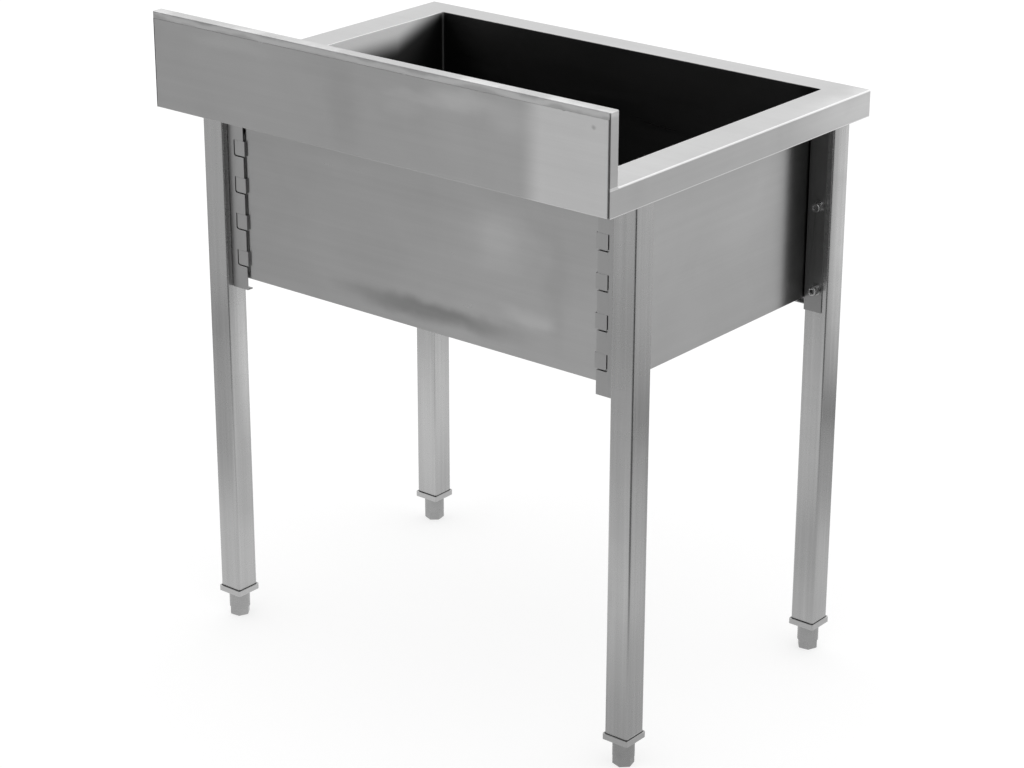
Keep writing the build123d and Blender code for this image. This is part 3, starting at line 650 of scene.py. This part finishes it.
# Computed pieces. A turned shape is a grid of profile points by angles; a profile that starts and ends
# on the axis closes itself, any other profile is closed from its last point back to its first.
def turnedGrid(radius, height, count):
    angle = 2 * np.pi * np.arange(count) / count
    radius = np.broadcast_to(radius, (len(height), count))
    level = np.broadcast_to(np.asarray(height)[:, None], radius.shape)
    return np.stack([radius * np.cos(angle), radius * np.sin(angle), level], axis=-1)


def placedGrid(grid, origin, axis, turn=0.0):
    upward = Vector(axis).to_track_quat("Z", "Y").to_matrix() @ Matrix.Rotation(turn, 3, "Z")
    return grid @ np.array(upward).T + np.array(origin)


# thread: the crest falls to the root and back once per pitch, a little flattened at both
def threadCut(height, count, pitch, depth):
    angle = np.arange(count) / count
    phase = np.mod(np.asarray(height)[:, None] / pitch - angle[None, :], 1.0)
    return depth * np.clip(1.3 * np.abs(2 * phase - 1) - 0.15, 0, 1)


def makePiece(name, grids, look):
    points, quads, start = [], [], 0
    for grid in grids:
        rows, count = grid.shape[:2]
        closed = np.ptp(grid[0], axis=0).max() > 1e-9
        i = np.arange(rows if closed else rows - 1)[:, None]
        j = np.arange(count)[None, :]
        after, beside = (i + 1) % rows, (j + 1) % count
        here, ahead = i * count, after * count
        face = np.stack([here + j, here + beside, ahead + beside, ahead + j], axis=-1)
        points.append(grid.reshape(-1, 3))
        quads.append(face.reshape(-1, 4) + start)
        start += rows * count
    mesh = bpy.data.meshes.new(name)
    mesh.from_pydata(np.concatenate(points).tolist(), [], np.concatenate(quads).tolist())
    work = bmesh.new()
    work.from_mesh(mesh)
    bmesh.ops.remove_doubles(work, verts=work.verts, dist=1e-7)
    bmesh.ops.recalc_face_normals(work, faces=work.faces)
    work.to_mesh(mesh)
    work.free()
    made = bpy.data.objects.new(name, mesh)
    bpy.context.scene.collection.objects.link(made)
    mesh.materials.append(finishes[look["slot"]])
    mesh.shade_smooth()
    mesh.set_sharp_from_angle(angle=math.radians(look["smooth"]))
    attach(made, look["body"])
    for node in look.get("nodes", []):
        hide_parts(node)


# Studs: M10 thread over the whole rod, both ends chamfered
stud = {"radius": 0.005, "pitch": 0.0015, "cut": 0.0009, "end": 0.0041,
        "count": 40, "perPitch": 7, "slot": "foot_metal", "smooth": 50}


def makeStud(corner, look):
    low, high = (point[2] for point in boxOf(f"foot_stud_{corner}"))
    height = np.arange(low, high, look["pitch"] / look["perPitch"])
    height = np.append(height, high)
    # radius: thread below the outer diameter, never above the chamfer that runs in from each end
    edge = look["end"] + np.minimum(height - low, high - height)
    radius = look["radius"] - threadCut(height, look["count"], look["pitch"], look["cut"])
    radius = np.minimum(radius, edge[:, None])
    zero = np.zeros((1, look["count"]))
    grid = turnedGrid(np.concatenate([zero, radius, zero]), np.concatenate([height[:1], height, height[-1:]]),
                      look["count"])
    grid = placedGrid(grid, (*legCentres[corner], 0.0), (0, 0, 1))
    makePiece(f"threaded_stud_{corner}", [grid],
              dict(look, body=f"stud_{corner}", nodes=[f"foot_stud_{corner}"]))


for corner in cornerNames:
    makeStud(corner, stud)
print("studs: 4 made")


# Cap screws: head with a hexagon socket and a knurled side, threaded shank. Lengths in millimetres, from
# the washer; each head point is reach, height, share of the hexagon, share of the knurl.
screw = {"head": [(0, 4.0, 0, 0), (3.0, 4.0, 1, 0), (3.0, 7.6, 1, 0), (3.65, 8.0, 0, 0), (5.7, 8.0, 0, 0),
                  (6.2, 7.85, 0, 0), (6.45, 7.4, 0, 0), (6.5, 6.9, 0, 1), (6.5, 4.0, 0, 1), (6.5, 1.2, 0, 1),
                  (6.4, 0.7, 0, 0), (6.4, 0.2, 0, 0), (6.2, 0.0, 0, 0), (0, 0.0, 0, 0)],
         "count": 120, "knurls": 30, "knurlCut": 0.35, "shank": 4.0, "pitch": 1.25, "cut": 0.72,
         "length": 16.0, "tip": 3.2, "intoHead": 0.4, "shankCount": 36, "perPitch": 6, "turnStep": 0.67,
         "washers": 3.6, "heights": (0.6955, 0.5715),
         "slot": "fastener", "smooth": 38, "body": "sink_frame", "nodes": ["cap_screws"]}


def makeScrews(look):
    count = look["count"]
    reach, height, hexShare, knurlShare = np.array(look["head"], dtype=float).T
    angle = 2 * np.pi * np.arange(count) / count
    # socket: distance to a hexagon's side at each angle; knurl: a cosine of the angle
    hexagon = 1 / np.cos(np.mod(angle + np.pi / 6, np.pi / 3) - np.pi / 6)
    radius = reach[:, None] * (1 + hexShare[:, None] * (hexagon - 1))
    radius = radius - knurlShare[:, None] * look["knurlCut"] * (0.5 - 0.5 * np.cos(look["knurls"] * angle))
    head = turnedGrid(radius, height, count)
    along = np.arange(-look["length"], look["intoHead"], look["pitch"] / look["perPitch"])
    tip = look["tip"] + (along + look["length"])
    radius = look["shank"] - threadCut(along, look["shankCount"], look["pitch"], look["cut"])
    zero = np.zeros((1, look["shankCount"]))
    radius = np.concatenate([zero, np.minimum(radius, tip[:, None]), zero])
    shank = turnedGrid(radius, np.concatenate([along[:1], along, along[-1:]]), look["shankCount"])
    grids, turn = [], 0.0
    for corner in cornerNames:
        # the heads stand on their washers, on the arm's face towards the middle of the sink
        low, high = boxOf(f"leg_bracket_{corner}")
        face, side = (low[1], -1) if corner.startswith("rear") else (high[1], 1)
        x, y = legCentres[corner][0], face + side * look["washers"] / 1000
        for z in look["heights"]:
            turn += look["turnStep"]
            grids += [placedGrid(part / 1000, (x, y, z), (0, side, 0), turn) for part in (head, shank)]
    makePiece("knurled_cap_screws", grids, look)


makeScrews(screw)
print("screws: 8 made")


# Waste: flange in the bowl, bore, and a tail with the trap thread; millimetres, heights from the
# underside of the recess
waste = {"radius": 23.9, "pitch": 2.309, "cut": 1.15, "threadLow": -56.8, "threadHigh": -14.5, "end": 22.6,
         "upper": [(23.5, -14.5), (23.5, -13.0), (23.9, -13.0), (23.9, 1.2), (41.6, 1.2), (42.0, 1.5),
                   (41.9, 1.9), (41.0, 2.6), (40.0, 2.7), (23.0, 2.7), (21.6, 2.45), (21.0, 1.7),
                   (21.0, -56.8)],
         "count": 96, "perPitch": 7, "place": (*bowlMiddle[:2], boxOf("bowl_floor")[0][2]),
         "slot": "waste_metal", "smooth": 34,
         "body": "sink_frame", "nodes": ["waste_flange"]}


def makeWaste(look):
    along = np.arange(look["threadLow"], look["threadHigh"], look["pitch"] / look["perPitch"])
    radius = look["radius"] - threadCut(along, look["count"], look["pitch"], look["cut"])
    radius = np.minimum(radius, (look["end"] + along - look["threadLow"])[:, None])
    reach, height = np.array(look["upper"]).T
    upper = np.broadcast_to(reach[:, None], (len(reach), look["count"]))
    grid = turnedGrid(np.concatenate([radius, upper]), np.concatenate([along, height]), look["count"])
    makePiece("threaded_waste_fitting", [placedGrid(grid / 1000, look["place"], (0, 0, 1))], look)


makeWaste(waste)
print("waste: made")


# Weld seam around the bowl floor, ground to a small hollow, swept along the foot of the walls
seam = {"corner": 0.003, "floor": bowlLow[2], "hollow": 0.0026, "sunk": 0.0004, "arcPoints": 7, "bend": 6,
        "slot": "bowl_sheet", "smooth": 60, "body": "sink_frame"}


def makeSeam(look):
    r, sunk = look["corner"], look["sunk"]
    wide, deep = bowlHalf[:2] - r
    centres = np.array([(wide, deep), (-wide, deep), (-wide, -deep), (wide, -deep)])
    starts = np.array([0.0, 0.5, 1.0, 1.5]) * np.pi
    sweep = np.linspace(0, np.pi / 2, look["bend"])
    direction = (starts[:, None] + sweep[None, :]).ravel()
    around = np.repeat(centres, look["bend"], axis=0)
    outward = np.stack([np.cos(direction), np.sin(direction)], axis=-1)
    # profile: hollow quarter circle from the wall to the floor, then back through the metal
    bow = np.linspace(0, np.pi / 2, look["arcPoints"])
    inset = np.concatenate([look["hollow"] * (1 - np.cos(bow)), [look["hollow"], -sunk, -sunk]])
    level = np.concatenate([look["hollow"] * (1 - np.sin(bow)), [-sunk, -sunk, look["hollow"]]])
    reach = (r - inset)[:, None, None] * outward[None]
    flat = around[None] + reach + bowlMiddle[:2]
    height = np.broadcast_to((look["floor"] + level)[:, None, None], (*flat.shape[:2], 1))
    makePiece("bowl_floor_seam", [np.concatenate([flat, height], axis=-1)], look)


makeSeam(seam)

# Spot welds along the lip: a shallow dimple inside a low ring, one at each place
spotWelds = {"places": [(-0.3270, 0.9475), (-0.1930, 0.9468), (-0.0648, 0.9481), (0.0633, 0.9472),
                        (0.1919, 0.9459), (0.3239, 0.9454), (0.3883, 0.9505)],
             "radius": 0.0043, "ring": 0.0034, "width": 0.0006, "rise": 0.00022, "dip": 0.00010,
             "dipShare": 0.8, "sunk": 0.0004, "rows": 14, "count": 40, "face": topHigh[1] - 0.0001,
             "slot": "rim_sheet", "smooth": 80, "body": "sink_frame"}


def makeSpotWelds(look):
    reach = np.linspace(0, look["radius"], look["rows"])
    # height: a bell at the ring's radius, less a flat-bottomed dip inside it
    height = look["rise"] * np.exp(-((reach - look["ring"]) / look["width"]) ** 2)
    height = height - look["dip"] * (reach < look["dipShare"] * look["ring"])
    reach = np.concatenate([reach, [look["radius"], 0.0]])
    height = np.concatenate([height, [-look["sunk"], -look["sunk"]]])
    mark = turnedGrid(np.broadcast_to(reach[:, None], (len(reach), look["count"])), height, look["count"])
    grids = [placedGrid(mark, (x, look["face"], z), (0, 1, 0)) for x, z in look["places"]]
    makePiece("lip_spot_welds", grids, look)


makeSpotWelds(spotWelds)
print("seam and spot welds: made")
